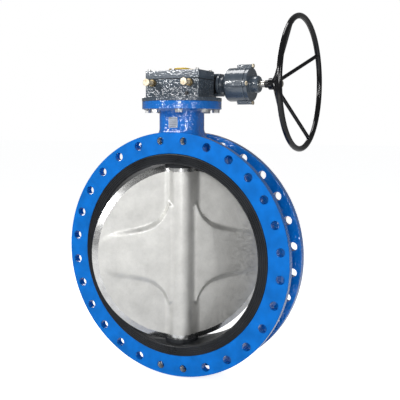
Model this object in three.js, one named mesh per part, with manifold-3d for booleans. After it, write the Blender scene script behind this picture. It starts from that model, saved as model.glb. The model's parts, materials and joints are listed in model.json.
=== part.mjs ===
// A double-flanged, rubber-lined butterfly valve, DN 900 PN 16, with a worm gearbox, a planetary reducer
// and a handwheel. Millimetres, +Z up. The origin is the valve centre, where the stem axis crosses the
// pipe axis. +X points along the worm towards the handwheel, and the pipe runs along Y.
// The disc is modelled standing 35 degrees open.
import * as THREE from "three";
import { mergeVertices } from "three/addons/utils/BufferGeometryUtils.js";
import Module from "manifold-3d";

const wasm = await Module();
wasm.setup();

// ---------------------------------------------------------------- driving dimensions
const GAP = 0.3; // clearance between pieces that touch
const OPEN_ANGLE = 35; // how far the disc stands open

// body: EN 1092-2 DN 900 PN 16 flanges, EN 558 series 20 face-to-face length
const FACE = 101.5; // half of the face-to-face length
const FLANGE_R = 562.5;
const FLANGE_THICK = 38;
const BOLT_CIRCLE_R = 525;
const BOLT_COUNT = 28;
const BOLT_HOLE_R = 19.5;
const TAPPED_HOLE_R = 16.5;
const TAPPED_DEPTH = 50;
const BARREL_R = 478;
const BORE_R = 440;
const LIP_RECESS_R = 465.5;
const LIP_RECESS_DEPTH = 8;

// neck, top flange (a little larger than ISO 5211 F30) and lower boss
const NECK_HALF_X = 97.5;
const NECK_HALF_Y = 82.5;
const NECK_CORNER_R = 62;
const PAD_PROUD = 3; // the nameplate's pad stands out of the neck
const TOP_FLANGE_R = 182;
const TOP_FLANGE_Z = 700;
const TOP_FLANGE_THICK = 35;
const TOP_BOLT_CIRCLE_R = 156;
const TOP_BOLT_COUNT = 8;
const TOP_HOLE_R = 11.5;
const BOSS_HALF_X = 84; // the lower boss and its cover lie in the groove between the flanges
const BOSS_CORNER_R = 26;
const BOSS_END_Z = -535;
const BOTTOM_COVER_HALF_Y = 60;
const BOTTOM_COVER_THICK = 18;
const BOTTOM_GASKET_THICK = 2;

// rubber seat
const SEAT_R = 418;
const SEAT_LIP_R = 465;
const SEAT_FLAT_Z = 398.5; // flats on which the ends of the disc hub turn
const SEAT_FLAT_R = 78;
const LIP_PROUD = 1.5; // the lips stand out of the flange faces, as the gasket

// disc
const DISC_R = 416.5;
const DISC_HALF_THICK = 15;
const HUB_R = 65;
const HUB_END_Z = 397.5;

// stem
const STEM_R = 40;
const STEM_BORE_R = 40.8;
const BUSH_R = 49.5;
const BUSH_BORE_R = 50;
const STEM_CHAMFER = 3;
const STEM_HOLE_END_Z = 225; // how near to the middle of the disc its two stem holes reach
const UPPER_STEM_TOP_Z = 799;
const LOWER_STEM_END_Z = -517;
const KEY_HALF = 11;
const KEY_TOP = STEM_R + 5;
const KEY_BOTTOM = STEM_R - 8;
const DISC_KEY_Z = [265, 375];
const GEAR_KEY_Z = [730, 790];

// worm gearbox
const BOX_HALF_X = 135;
const BOX_FRONT_Y = -101;
const BOX_BACK_Y = 62;
const BOX_BASE_Z = TOP_FLANGE_Z + GAP;
const BOX_STEP_Z = 717;
const BOX_TOP_Z = 797.5;
const BOX_CORNER_R = 6;
const COVER_GASKET_THICK = 1.2;
const COVER_BASE_Z = BOX_TOP_Z + COVER_GASKET_THICK + 2 * GAP;
const COVER_TOP_Z = 837;
const BASE_FLANGE_R = 183;
const CHAMBER_R = 100;
const CHAMBER_FLOOR_Z = 751;
const GEAR_MODULE = 4;
const WHEEL_TEETH = 45;
const WHEEL_PITCH_R = (GEAR_MODULE * WHEEL_TEETH) / 2;
const WORM_PITCH_R = 20;
const WORM_Y = WHEEL_PITCH_R + WORM_PITCH_R;
const WORM_Z = 778;
const WORM_LEAD = GEAR_MODULE * Math.PI;
const TOOTH_ADDENDUM = 3.6;
const TOOTH_DEDENDUM = 4.6;
const TOOTH_THICK = 4; // at the pitch line, which leaves room for the straight wheel teeth
const SECTOR_HALF_ANGLE = 65; // the sector ends in plain lands, which meet the stop bolts
const TOOTHED_HALF_ANGLE = 60;
const LAND_R = 92;
const WHEEL_BOTTOM_Z = 759.5;
const WHEEL_TOP_Z = 795.5;
const STOP_X = 93;
const STOP_TIP_Y = -32.5;
const STOP_Z = 781;
const WORM_HOUSING_R = 42;
const WORM_HOUSING_END_X = 115;
const WORM_CHAMBER_R = 26;
const WORM_CHAMBER_HALF = 66;
const WORM_JOURNAL_R = 15;
const BEARING_R = 31;
const BEARING_WIDTH = 18;
const WHEEL_BUSH_R = 60;
const WHEEL_HUB_R = 55;
const WHEEL_HUB_BOTTOM_Z = 706;
const JOURNAL_TOP_R = 50; // the wheel's upper journal turns in the cover
const JOURNAL_TOP_Z = 822;
const SPINDLE_R = 18;
const STOP_BOLT_R = 10;
const STOP_BOLT_FLATS = 30;
const STOP_HEAD_Y = -153;

// planetary reducer
const REDUCER_MODULE = 2;
const SUN_TEETH = 18;
const PLANET_TEETH = 18;
const RING_TEETH = 54;
const REDUCER_R = 76;
const CARRIER_R = (REDUCER_MODULE * (SUN_TEETH + PLANET_TEETH)) / 2;
const PLANET_COUNT = 3;
const GEAR_LEFT_X = 222;
const GEAR_WIDTH = 24;
const COVER_LEFT_X = 285.3;
const COVER_RIGHT_X = 303;
const LUG_R = 90;
const LUG_BOLT_R = 83;
const LUG_ANGLES = [0, 90, 180, 270];
const ADAPTOR_LEFT_X = WORM_HOUSING_END_X + GAP;
const CARRIER_LEFT_X = 196;
const CARRIER_PLATE = 16;
const PLANET_PIN_R = 7;
const RING_OUTER_R = 66;

// handwheel
const RIM_R = 287.5;
const RIM_TUBE_R = 12.5;
const RIM_X = 531;
const SPOKE_COUNT = 4;
const SPOKE_R = 8.5;
const SPOKE_START_ANGLE = 30;
const HANDWHEEL_HUB_R = 26;
const HANDWHEEL_LEFT_X = 384;
const HANDWHEEL_RIGHT_X = 428;
const INPUT_SHAFT_R = 15;
const HANDWHEEL_SEAT_R = 13;
const HANDWHEEL_KEY_HALF = 4;

// ---------------------------------------------------------------- materials
const paint = (color, roughness, metalness = 0) =>
  new THREE.MeshStandardMaterial({ color, roughness, metalness });
const bluePaint = () => paint(0x0b6fd6, 0.35);
const slatePaint = () => paint(0x46525c, 0.4);
const blackPaint = () => paint(0x15171a, 0.25);
const rubber = () => paint(0x2b2c2e, 0.7);
const stainless = () => paint(0xb9b8b3, 0.45, 0.9);
const steel = () => paint(0x9a9a98, 0.35, 0.9);
const zincSteel = () => paint(0xc9b98a, 0.35, 0.85);
const bronze = () => paint(0xa9793c, 0.4, 0.85);
const yellowPaint = () => paint(0xc9b02a, 0.5);

// ---------------------------------------------------------------- solids
const degrees = (angle) => (angle * Math.PI) / 180;
const turned = (radius, angle) => [radius * Math.cos(degrees(angle)), radius * Math.sin(degrees(angle))];
const count = (n) => Array.from({ length: n }, (_, index) => index);

// A closed geometry as a manifold-3d solid with its faces pointing out.
function solidOf(geometry) {
  const bare = geometry.clone();
  bare.deleteAttribute("normal");
  bare.deleteAttribute("uv");
  const merged = mergeVertices(bare, 1e-3);
  const index = merged.index.array;
  const triangles = [];
  for (let i = 0; i < index.length; i += 3) {
    const [a, b, c] = [index[i], index[i + 1], index[i + 2]];
    if (a !== b && b !== c && c !== a) triangles.push([a, b, c]);
  }
  const build = (list) =>
    new wasm.Manifold(
      new wasm.Mesh({
        numProp: 3,
        vertProperties: merged.attributes.position.array,
        triVerts: new Uint32Array(list.flat()),
      }),
    );
  const made = build(triangles);
  return made.volume() > 0 ? made : build(triangles.map(([a, b, c]) => [a, c, b]));
}

function geometryOf(solid) {
  const { numProp, numVert, vertProperties, triVerts } = solid.getMesh();
  const positions = new Float32Array(numVert * 3);
  for (let i = 0; i < numVert; i++) {
    positions.set(vertProperties.subarray(i * numProp, i * numProp + 3), i * 3);
  }
  const geometry = new THREE.BufferGeometry();
  geometry.setAttribute("position", new THREE.BufferAttribute(positions, 3));
  geometry.setIndex(new THREE.BufferAttribute(triVerts, 1));
  return geometry;
}

const join = (...pieces) => geometryOf(pieces.map(solidOf).reduce((a, b) => a.add(b)));
const cut = (piece, ...tools) =>
  geometryOf(tools.map(solidOf).reduce((rest, tool) => rest.subtract(tool), solidOf(piece)));
const common = (a, b) => geometryOf(solidOf(a).intersect(solidOf(b)));

// ---------------------------------------------------------------- basic shapes
// A profile of [radius, height] points turned about Z. It starts and ends on the axis, or closes itself.
function revolve(profile, segments = 20) {
  const closed = profile[0][0] > 0 ? [...profile, profile[0]] : profile;
  const points = closed.map(([radius, height]) => new THREE.Vector2(radius, height));
  return new THREE.LatheGeometry(points, segments).rotateX(Math.PI / 2);
}

const rod = (radius, bottom, top, segments = 20) =>
  revolve([[0, bottom], [radius, bottom], [radius, top], [0, top]], segments);
const tube = (outer, inner, bottom, top, segments = 20) =>
  revolve([[inner, bottom], [outer, bottom], [outer, top], [inner, top]], segments);
const hexPrism = (acrossFlats, bottom, top) => rod(acrossFlats / 2 / Math.cos(Math.PI / 6), bottom, top, 6);

function box(x0, x1, y0, y1, z0, z1) {
  const shape = new THREE.BoxGeometry(x1 - x0, y1 - y0, z1 - z0);
  return shape.translate((x0 + x1) / 2, (y0 + y1) / 2, (z0 + z1) / 2);
}

// Height Z becomes distance along +X, and the piece sits on the axis of the worm.
const onWormAxis = (geometry) => geometry.rotateY(Math.PI / 2).translate(0, WORM_Y, WORM_Z);
// Height Z becomes distance along +Y.
const alongY = (geometry) => geometry.rotateX(-Math.PI / 2);

function roundedRectangle(x0, x1, y0, y1, radius) {
  const shape = new THREE.Shape();
  shape.absarc(x1 - radius, y1 - radius, radius, 0, Math.PI / 2);
  shape.absarc(x0 + radius, y1 - radius, radius, Math.PI / 2, Math.PI);
  shape.absarc(x0 + radius, y0 + radius, radius, Math.PI, 1.5 * Math.PI);
  shape.absarc(x1 - radius, y0 + radius, radius, 1.5 * Math.PI, 2 * Math.PI);
  shape.closePath();
  return shape;
}

function extrude(shape, bottom, top, options = {}) {
  const depth = top - bottom;
  const settings = { depth, bevelEnabled: false, curveSegments: 4, ...options };
  return new THREE.ExtrudeGeometry(shape, settings).translate(0, 0, bottom);
}

// ---------------------------------------------------------------- gear outlines
// Trapezoid teeth round a circle, from firstTooth to lastTooth, each on a straight pair of flanks.
function toothPoints(module, teeth, index, half, addendum, dedendum, flankSlope) {
  const pitchR = (module * teeth) / 2;
  const middle = (index * 2 * Math.PI) / teeth;
  const at = (radius, halfWidth) => new THREE.Vector2(
    radius * Math.cos(middle + halfWidth / radius),
    radius * Math.sin(middle + halfWidth / radius),
  );
  const tipHalf = half - addendum * flankSlope;
  const rootHalf = half + dedendum * flankSlope;
  return [
    at(pitchR - dedendum, -rootHalf),
    at(pitchR + addendum, -tipHalf),
    at(pitchR + addendum, tipHalf),
    at(pitchR - dedendum, rootHalf),
  ];
}

function gearShape(module, teeth) {
  const half = module * Math.PI * 0.2;
  const points = count(teeth).flatMap((i) =>
    toothPoints(module, teeth, i, half, module * 0.8, module * 1.25, 0.34));
  return new THREE.Shape(points);
}

// An internal gear's tooth spaces are the teeth of this slightly larger outline.
function ringSpaceShape(module, teeth) {
  const half = module * Math.PI * 0.28;
  const points = count(teeth).flatMap((i) =>
    toothPoints(module, teeth, i, half, module * 1.2, module * 0.9, 0.36));
  return new THREE.Shape(points);
}

// ---------------------------------------------------------------- scene graph
const valve = new THREE.Group();
const turningGroup = new THREE.Group(); // all that turns with the disc about the stem axis
turningGroup.rotation.z = degrees(OPEN_ANGLE);
valve.add(turningGroup);

function place(name, geometry, material, parent = valve) {
  const mesh = new THREE.Mesh(geometryOf(solidOf(geometry)), material);
  mesh.name = name;
  parent.add(mesh);
  return mesh;
}

// ---------------------------------------------------------------- body casting
function flangeHoles() {
  return count(BOLT_COUNT).flatMap((i) => {
    const angle = 90 + (360 / BOLT_COUNT) * (i + 0.5);
    const [x, z] = turned(BOLT_CIRCLE_R, angle);
    const besideStem = Math.abs(x) < NECK_HALF_X;
    if (!besideStem) return [alongY(rod(BOLT_HOLE_R, -FACE - 1, FACE + 1, 8)).translate(x, 0, z)];
    const front = alongY(rod(TAPPED_HOLE_R, -FACE - 1, -FACE + TAPPED_DEPTH, 8)).translate(x, 0, z);
    const rear = alongY(rod(TAPPED_HOLE_R, FACE - TAPPED_DEPTH, FACE + 1, 8)).translate(x, 0, z);
    return [front, rear];
  });
}

const lowerBossOutline = (halfX, halfY) => roundedRectangle(-halfX, halfX, -halfY, halfY, BOSS_CORNER_R);

function bodyCasting() {
  const inner = FACE - FLANGE_THICK;
  const shell = alongY(revolve([
    [BORE_R - 10, -FACE], [FLANGE_R, -FACE], [FLANGE_R, -inner],
    [BARREL_R, -inner], [BARREL_R, inner],
    [FLANGE_R, inner], [FLANGE_R, FACE], [BORE_R - 10, FACE],
  ], 56));
  const neckShape = roundedRectangle(-NECK_HALF_X, NECK_HALF_X, -NECK_HALF_Y, NECK_HALF_Y, NECK_CORNER_R);
  const neck = extrude(neckShape, BORE_R + 10, TOP_FLANGE_Z - TOP_FLANGE_THICK + 1);
  const flare = { bevelEnabled: true, bevelThickness: 24, bevelSize: 14, bevelOffset: -14, bevelSegments: 3 };
  const footShape = roundedRectangle(
    -NECK_HALF_X - 14, NECK_HALF_X + 14, -NECK_HALF_Y - 5, NECK_HALF_Y + 5, NECK_CORNER_R);
  const foot = extrude(footShape, BORE_R + 20, FLANGE_R - 16, flare);
  const topFlange = rod(TOP_FLANGE_R, TOP_FLANGE_Z - TOP_FLANGE_THICK, TOP_FLANGE_Z, 40);
  const padShape = roundedRectangle(-31, 31, 574, 637, 6);
  const pad = extrude(padShape, NECK_HALF_Y - 10, NECK_HALF_Y + PAD_PROUD).rotateX(Math.PI / 2);
  const boss = extrude(lowerBossOutline(BOSS_HALF_X, inner + 1), BOSS_END_Z, -BORE_R - 10);
  const casting = join(shell, neck, foot, topFlange, pad, boss);
  const bore = alongY(rod(BORE_R, -FACE - 1, FACE + 1, 56));
  const lipRecess = (side) => alongY(
    tube(LIP_RECESS_R, BORE_R - 20, side * FACE - LIP_RECESS_DEPTH, side * FACE + LIP_RECESS_DEPTH, 56));
  const topHoles = count(TOP_BOLT_COUNT).map((i) => {
    const [x, y] = turned(TOP_BOLT_CIRCLE_R, (360 / TOP_BOLT_COUNT) * (i + 0.5));
    return rod(TOP_HOLE_R, TOP_FLANGE_Z - TOP_FLANGE_THICK - 1, TOP_FLANGE_Z + 1, 8).translate(x, y, 0);
  });
  const stemBore = rod(BUSH_BORE_R, BOSS_END_Z - 1, TOP_FLANGE_Z + 1);
  const platePocket = box(-24, 24, -NECK_HALF_Y - 5, -NECK_HALF_Y - PAD_PROUD / 2, 581, 630);
  const recesses = [lipRecess(-1), lipRecess(1), platePocket];
  return cut(casting, bore, stemBore, ...recesses, ...topHoles, ...flangeHoles());
}

function nameplate() {
  const front = -NECK_HALF_Y - PAD_PROUD + 0.4;
  return box(-23, 23, front, front + 0.8, 582, 629);
}

// ---------------------------------------------------------------- rubber seat
function rubberSeat() {
  const outer = BORE_R - GAP;
  const lipDepth = LIP_RECESS_DEPTH - GAP;
  const face = FACE + LIP_PROUD;
  const ring = alongY(revolve([
    [SEAT_R + 5, -face], [SEAT_R, -face + LIP_RECESS_DEPTH],
    [SEAT_R, face - LIP_RECESS_DEPTH], [SEAT_R + 5, face],
    [SEAT_LIP_R, face], [SEAT_LIP_R, FACE - lipDepth], [outer, FACE - lipDepth],
    [outer, -FACE + lipDepth], [SEAT_LIP_R, -FACE + lipDepth], [SEAT_LIP_R, -face],
  ], 56));
  const flat = (side) => {
    const [low, high] = side > 0 ? [SEAT_FLAT_Z, SEAT_R + 10] : [-SEAT_R - 10, -SEAT_FLAT_Z];
    return rod(SEAT_FLAT_R, low, high);
  };
  const stemHole = rod(STEM_BORE_R, -BORE_R - 20, BORE_R + 20);
  return cut(join(ring, flat(1), flat(-1)), stemHole);
}

// ---------------------------------------------------------------- disc
// The raised web spreads out towards the hub: this is its half height at a distance from the stem axis.
function webHalfHeight(distance) {
  const away = Math.max(distance - HUB_R, 0);
  const rounding = 20 * (Math.max(distance - 285, 0) / 80) ** 2;
  return 86 + 75 * Math.exp(-away / 130) + 75 * Math.exp(-away / 28) - rounding;
}

function webOutline() {
  const stations = [0, 65, 75, 90, 115, 150, 200, 285, 340, 385];
  const upper = stations.map((x) => [x, webHalfHeight(x)]);
  const quarter = (signX, signZ, list) => list.map(([x, z]) => new THREE.Vector2(signX * x, signZ * z));
  const reversed = [...upper].reverse();
  return new THREE.Shape([
    ...quarter(1, 1, upper), ...quarter(1, -1, reversed),
    ...quarter(-1, -1, upper.slice(1)), ...quarter(-1, 1, reversed.slice(0, -1)),
  ]);
}

function discCasting() {
  const rimHalf = Math.sqrt(DISC_R ** 2 - DISC_HALF_THICK ** 2);
  const plateR = DISC_R - 24;
  const plate = alongY(revolve([
    [0, -DISC_HALF_THICK - 4], [plateR, -DISC_HALF_THICK - 3], [rimHalf - 4, -DISC_HALF_THICK + 4],
    [DISC_R - 0.2, -4], [DISC_R - 0.2, 4],
    [rimHalf - 4, DISC_HALF_THICK - 4], [plateR, DISC_HALF_THICK + 3], [0, DISC_HALF_THICK + 4],
  ], 56));
  const web = extrude(webOutline(), -48, 48).rotateX(Math.PI / 2);
  const wedge = new THREE.Shape([
    new THREE.Vector2(-388, -19), new THREE.Vector2(-60, -44), new THREE.Vector2(60, -44),
    new THREE.Vector2(388, -19), new THREE.Vector2(388, 19), new THREE.Vector2(60, 44),
    new THREE.Vector2(-60, 44), new THREE.Vector2(-388, 19),
  ]);
  const taperedWeb = common(web, extrude(wedge, -300, 300));
  const hub = rod(HUB_R, -HUB_END_Z, HUB_END_Z, 32);
  const body = join(plate, taperedWeb, hub);
  const pocket = (side) => {
    const middle = side * (HUB_END_Z + 15);
    return rod(SEAT_FLAT_R + 2, middle - 15, middle + 15);
  };
  const upper = [STEM_HOLE_END_Z, HUB_END_Z + 5];
  const lower = [-HUB_END_Z - 5, -STEM_HOLE_END_Z];
  const stemHoles = [upper, lower].flatMap((span) => [rod(STEM_BORE_R, ...span), keyway(...span)]);
  return cut(body, pocket(1), pocket(-1), ...stemHoles);
}

// ---------------------------------------------------------------- stems, keys, bushes and seals
const stemBar = (low, high) => revolve([
  [0, low], [STEM_R - STEM_CHAMFER, low], [STEM_R, low + STEM_CHAMFER],
  [STEM_R, high - STEM_CHAMFER], [STEM_R - STEM_CHAMFER, high], [0, high],
]);
const parallelKey = (low, high) => box(KEY_BOTTOM, KEY_TOP, -KEY_HALF, KEY_HALF, low, high);
const keySlot = (low, high) =>
  box(KEY_BOTTOM - GAP, KEY_TOP, -KEY_HALF - GAP, KEY_HALF + GAP, low - GAP, high + GAP);
// A keyway runs right through the bore that the stem fits.
const keyway = (low, high) =>
  box(STEM_R - 10, KEY_TOP + GAP, -KEY_HALF - GAP, KEY_HALF + GAP, low, high);

function upperStem() {
  return cut(stemBar(STEM_HOLE_END_Z + 2, UPPER_STEM_TOP_Z), keySlot(...DISC_KEY_Z), keySlot(...GEAR_KEY_Z));
}

function lowerStem() {
  const [near, far] = DISC_KEY_Z;
  return cut(stemBar(LOWER_STEM_END_Z, -STEM_HOLE_END_Z - 2), keySlot(-far, -near));
}

function oRing(height) {
  const middle = (STEM_R + BUSH_BORE_R) / 2;
  const radius = (BUSH_BORE_R - STEM_R) / 2 - 0.7;
  const profile = count(6).map((i) => {
    const [r, z] = turned(radius, i * 60);
    return [middle + r, height + z];
  });
  return revolve(profile);
}

// ---------------------------------------------------------------- bottom cover
const bottomCoverOutline = () => lowerBossOutline(BOSS_HALF_X - 1, BOTTOM_COVER_HALF_Y);

function bottomCover() {
  const top = BOSS_END_Z - BOTTOM_GASKET_THICK - 2 * GAP;
  const plate = extrude(bottomCoverOutline(), top - BOTTOM_COVER_THICK, top);
  const spigot = rod(BUSH_BORE_R - 0.8, top - 1, LOWER_STEM_END_Z - 9);
  return join(plate, spigot);
}

function bottomGasket() {
  const top = BOSS_END_Z - GAP;
  const sheet = extrude(bottomCoverOutline(), top - BOTTOM_GASKET_THICK, top);
  return cut(sheet, rod(BUSH_BORE_R + 1, top - 5, top + 5));
}

// ---------------------------------------------------------------- gearbox casing
function boxOutline() {
  return roundedRectangle(-BOX_HALF_X, BOX_HALF_X, BOX_FRONT_Y, BOX_BACK_Y, BOX_CORNER_R);
}

function mountingBoltPlaces() {
  return count(TOP_BOLT_COUNT).map((i) => turned(TOP_BOLT_CIRCLE_R, (360 / TOP_BOLT_COUNT) * (i + 0.5)));
}

// The screw's thread goes up into the gearbox, and its head and washer sit under the top flange.
function mountingBolt([x, y]) {
  const under = TOP_FLANGE_Z - TOP_FLANGE_THICK;
  const shank = rod(10, under - 1, BOX_STEP_Z - 1, 8);
  const washer = rod(18.5, under - 3 - GAP, under - GAP, 16);
  return join(shank, washer, hexPrism(30, under - 16, under - 3)).translate(x, y, 0);
}

function gearboxHousing() {
  const base = revolve([
    [0, BOX_BASE_Z], [BASE_FLANGE_R, BOX_BASE_Z], [BASE_FLANGE_R, BOX_STEP_Z - 2],
    [BASE_FLANGE_R - 3, BOX_STEP_Z], [0, BOX_STEP_Z],
  ], 40);
  const block = extrude(boxOutline(), BOX_STEP_Z - 2, BOX_TOP_Z);
  const tunnel = onWormAxis(rod(WORM_HOUSING_R, -WORM_HOUSING_END_X, WORM_HOUSING_END_X, 24));
  const saddleX = WORM_HOUSING_END_X - 4;
  const saddle = box(-saddleX, saddleX, BOX_BACK_Y - 5, WORM_Y + 34, BOX_STEP_Z - 2, WORM_Z);
  const roof = box(-saddleX, saddleX, BOX_BACK_Y + 1, WORM_Y, WORM_Z, WORM_Z + 40);
  const endFlange = onWormAxis(box(-51, 51, -46.5, 46.5, WORM_HOUSING_END_X - 14, WORM_HOUSING_END_X));
  const casting = join(base, block, tunnel, saddle, roof, endFlange);
  const chamber = common(
    rod(CHAMBER_R, CHAMBER_FLOOR_Z, BOX_TOP_Z + 1, 24),
    box(-CHAMBER_R - 10, CHAMBER_R + 10, BOX_FRONT_Y + 20, WORM_Y, CHAMBER_FLOOR_Z - 1, BOX_TOP_Z + 2),
  );
  const wormChamber = onWormAxis(rod(WORM_CHAMBER_R, -WORM_CHAMBER_HALF, WORM_CHAMBER_HALF));
  const bearingSeats = onWormAxis(rod(BEARING_R + GAP, -WORM_HOUSING_END_X - 1, WORM_HOUSING_END_X + 1));
  const seatCore = onWormAxis(rod(BEARING_R + 2, -WORM_CHAMBER_HALF, WORM_CHAMBER_HALF));
  const journalBore = rod(WHEEL_BUSH_R, BOX_BASE_Z - 1, CHAMBER_FLOOR_Z + 1, 24);
  const threads = mountingBoltPlaces().map(([x, y]) =>
    rod(10.6, BOX_BASE_Z - 1, BOX_STEP_Z + 1, 8).translate(x, y, 0));
  const stopHoles = [-STOP_X, STOP_X].map((x) =>
    alongY(rod(STOP_BOLT_R + 0.6, BOX_FRONT_Y - 1, -15, 10)).translate(x, 0, STOP_Z));
  const rooms = [chamber, wormChamber, cut(bearingSeats, seatCore), journalBore];
  return cut(casting, ...rooms, ...threads, ...stopHoles);
}

function gearboxCover() {
  const lid = extrude(boxOutline(), COVER_BASE_Z, COVER_TOP_Z - 3);
  const edge = { bevelEnabled: true, bevelThickness: 3, bevelSize: 3, bevelOffset: -3, bevelSegments: 1 };
  const crown = extrude(boxOutline(), COVER_TOP_Z - 6, COVER_TOP_Z - 3, edge);
  const journal = rod(JOURNAL_TOP_R + 0.8, COVER_BASE_Z - 1, JOURNAL_TOP_Z + GAP, 24);
  const spindle = rod(SPINDLE_R + GAP, COVER_BASE_Z, COVER_TOP_Z + 1, 24);
  return cut(join(lid, crown), journal, spindle);
}

function coverGasket() {
  const sheet = extrude(boxOutline(), BOX_TOP_Z + GAP, BOX_TOP_Z + GAP + COVER_GASKET_THICK);
  return cut(sheet, rod(CHAMBER_R, BOX_TOP_Z, BOX_TOP_Z + 5).scale(1, 0.6, 1));
}

// ---------------------------------------------------------------- worm and worm wheel
function wormWheel() {
  const half = TOOTH_THICK / 2;
  const lastTooth = Math.floor(TOOTHED_HALF_ANGLE / (360 / WHEEL_TEETH));
  const land = (from, to) => [from, to].map((angle) => new THREE.Vector2(...turned(LAND_R, angle)));
  const teeth = count(2 * lastTooth + 1).flatMap((i) =>
    toothPoints(GEAR_MODULE, WHEEL_TEETH, i - lastTooth, half, TOOTH_ADDENDUM, TOOTH_DEDENDUM, 0.364));
  const outline = [
    new THREE.Vector2(0, 0),
    ...land(-SECTOR_HALF_ANGLE, -TOOTHED_HALF_ANGLE),
    ...teeth,
    ...land(TOOTHED_HALF_ANGLE, SECTOR_HALF_ANGLE),
  ];
  const sector = extrude(new THREE.Shape(outline), WHEEL_BOTTOM_Z, WHEEL_TOP_Z);
  // The middle of the toothed sector faces the worm when the valve is half open.
  sector.rotateZ(degrees(90 - 45));
  const hub = revolve([
    [0, WHEEL_HUB_BOTTOM_Z], [WHEEL_HUB_R, WHEEL_HUB_BOTTOM_Z], [WHEEL_HUB_R, CHAMBER_FLOOR_Z + 2],
    [WHEEL_BUSH_R + 2, CHAMBER_FLOOR_Z + 2], [WHEEL_BUSH_R + 2, WHEEL_TOP_Z],
    [JOURNAL_TOP_R, WHEEL_TOP_Z], [JOURNAL_TOP_R, JOURNAL_TOP_Z], [0, JOURNAL_TOP_Z],
  ], 24);
  const stemHole = [WHEEL_HUB_BOTTOM_Z - 6, UPPER_STEM_TOP_Z + 2];
  return cut(join(sector, hub), rod(STEM_BORE_R, ...stemHole), keyway(...stemHole));
}

// The thread is one lobe of the cross-section, twisted once round in each lead.
function wormShaft() {
  const tipR = WORM_PITCH_R + TOOTH_ADDENDUM;
  const rootR = WORM_PITCH_R - TOOTH_DEDENDUM;
  const turn = (width) => (width / WORM_LEAD) * Math.PI * 2;
  const crest = turn(TOOTH_THICK / 2 - TOOTH_ADDENDUM * 0.364);
  const base = turn(TOOTH_THICK / 2 + TOOTH_DEDENDUM * 0.364);
  const point = (radius, angle) => new THREE.Vector2(radius * Math.cos(angle), radius * Math.sin(angle));
  const pitchAngle = (crest + base) / 2;
  const rootArc = count(3).map((i) => point(rootR, base + ((2 * Math.PI - 2 * base) * (i + 1)) / 4));
  const outline = new THREE.Shape([
    point(tipR, -crest), point(tipR, crest), point(WORM_PITCH_R - 0.5, pitchAngle),
    point(rootR, base), ...rootArc, point(rootR, -base), point(WORM_PITCH_R - 0.5, -pitchAngle),
  ]);
  const length = 3.5 * WORM_LEAD;
  const thread = extrude(outline, -length / 2, length / 2, { steps: 35 });
  const position = thread.getAttribute("position");
  // At the modelled opening the gap between two wheel teeth lies a quarter pitch beside the centre line.
  const crestX = -WORM_LEAD / 4;
  for (let i = 0; i < position.count; i++) {
    const [x, y, z] = [position.getX(i), position.getY(i), position.getZ(i)];
    const angle = (2 * Math.PI * (z - crestX)) / WORM_LEAD - Math.PI / 2;
    const [cos, sin] = [Math.cos(angle), Math.sin(angle)];
    position.setXYZ(i, x * cos - y * sin, x * sin + y * cos, z);
  }
  const core = revolve([
    [0, -WORM_HOUSING_END_X + 8], [WORM_JOURNAL_R, -WORM_HOUSING_END_X + 8], [WORM_JOURNAL_R, -62],
    [rootR + 1.4, -62], [rootR + 0.2, -30], [rootR + 0.2, 30], [rootR + 1.4, 62],
    [WORM_JOURNAL_R, 62], [WORM_JOURNAL_R, CARRIER_LEFT_X - 1], [0, CARRIER_LEFT_X - 1],
  ], 24);
  return onWormAxis(join(thread, core));
}

const ballBearing = (leftX) =>
  onWormAxis(tube(BEARING_R, WORM_JOURNAL_R + GAP, leftX, leftX + BEARING_WIDTH));

function wormEndCap() {
  const flangeX = -WORM_HOUSING_END_X - GAP;
  return onWormAxis(revolve([
    [0, flangeX - 10], [38, flangeX - 10], [40, flangeX - 8], [40, flangeX], [BEARING_R - GAP, flangeX],
    [BEARING_R - GAP, flangeX + 8], [20, flangeX + 8], [20, flangeX - 2], [0, flangeX - 2],
  ]));
}

function wormBearingCap() {
  const flangeX = WORM_HOUSING_END_X + GAP;
  return onWormAxis(revolve([
    [WORM_JOURNAL_R + GAP, flangeX - 12], [BEARING_R - GAP, flangeX - 12], [BEARING_R - GAP, flangeX],
    [38, flangeX], [38, flangeX + 14], [34, flangeX + 17], [WORM_JOURNAL_R + GAP, flangeX + 17],
  ]));
}

// ---------------------------------------------------------------- gearbox stops
function stopBolt() {
  const shank = revolve([
    [0, STOP_HEAD_Y - 1], [STOP_BOLT_R, STOP_HEAD_Y - 1], [STOP_BOLT_R, STOP_TIP_Y - 1],
    [STOP_BOLT_R - 1, STOP_TIP_Y], [0, STOP_TIP_Y],
  ], 10);
  return alongY(join(shank, hexPrism(STOP_BOLT_FLATS, STOP_HEAD_Y - 14, STOP_HEAD_Y)));
}

function stopLocknut() {
  const [left, right] = [BOX_FRONT_Y - 16.5, BOX_FRONT_Y - GAP];
  const nut = hexPrism(STOP_BOLT_FLATS, left, right);
  return alongY(cut(nut, rod(STOP_BOLT_R + GAP, left - 1, right + 1, 10)));
}

// ---------------------------------------------------------------- position indicator
function indicatorBase() {
  return revolve([
    [SPINDLE_R + GAP, COVER_TOP_Z + GAP], [70, COVER_TOP_Z + GAP], [68, COVER_TOP_Z + 6],
    [SPINDLE_R + GAP, COVER_TOP_Z + 8],
  ]);
}

function indicatorPointer() {
  const bottom = JOURNAL_TOP_Z + GAP;
  const plateZ = COVER_TOP_Z + 9;
  const spindle = revolve([
    [0, bottom], [SPINDLE_R, bottom], [SPINDLE_R, plateZ], [42, plateZ], [38, plateZ + 5], [20, plateZ + 9],
    [0, plateZ + 10],
  ]);
  // The arrow lies along the disc.
  const arrow = new THREE.Shape([
    new THREE.Vector2(30, -12), new THREE.Vector2(62, 0), new THREE.Vector2(30, 12),
    new THREE.Vector2(-58, 9), new THREE.Vector2(-58, -9),
  ]);
  return join(spindle, extrude(arrow, plateZ, plateZ + 4));
}

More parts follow.
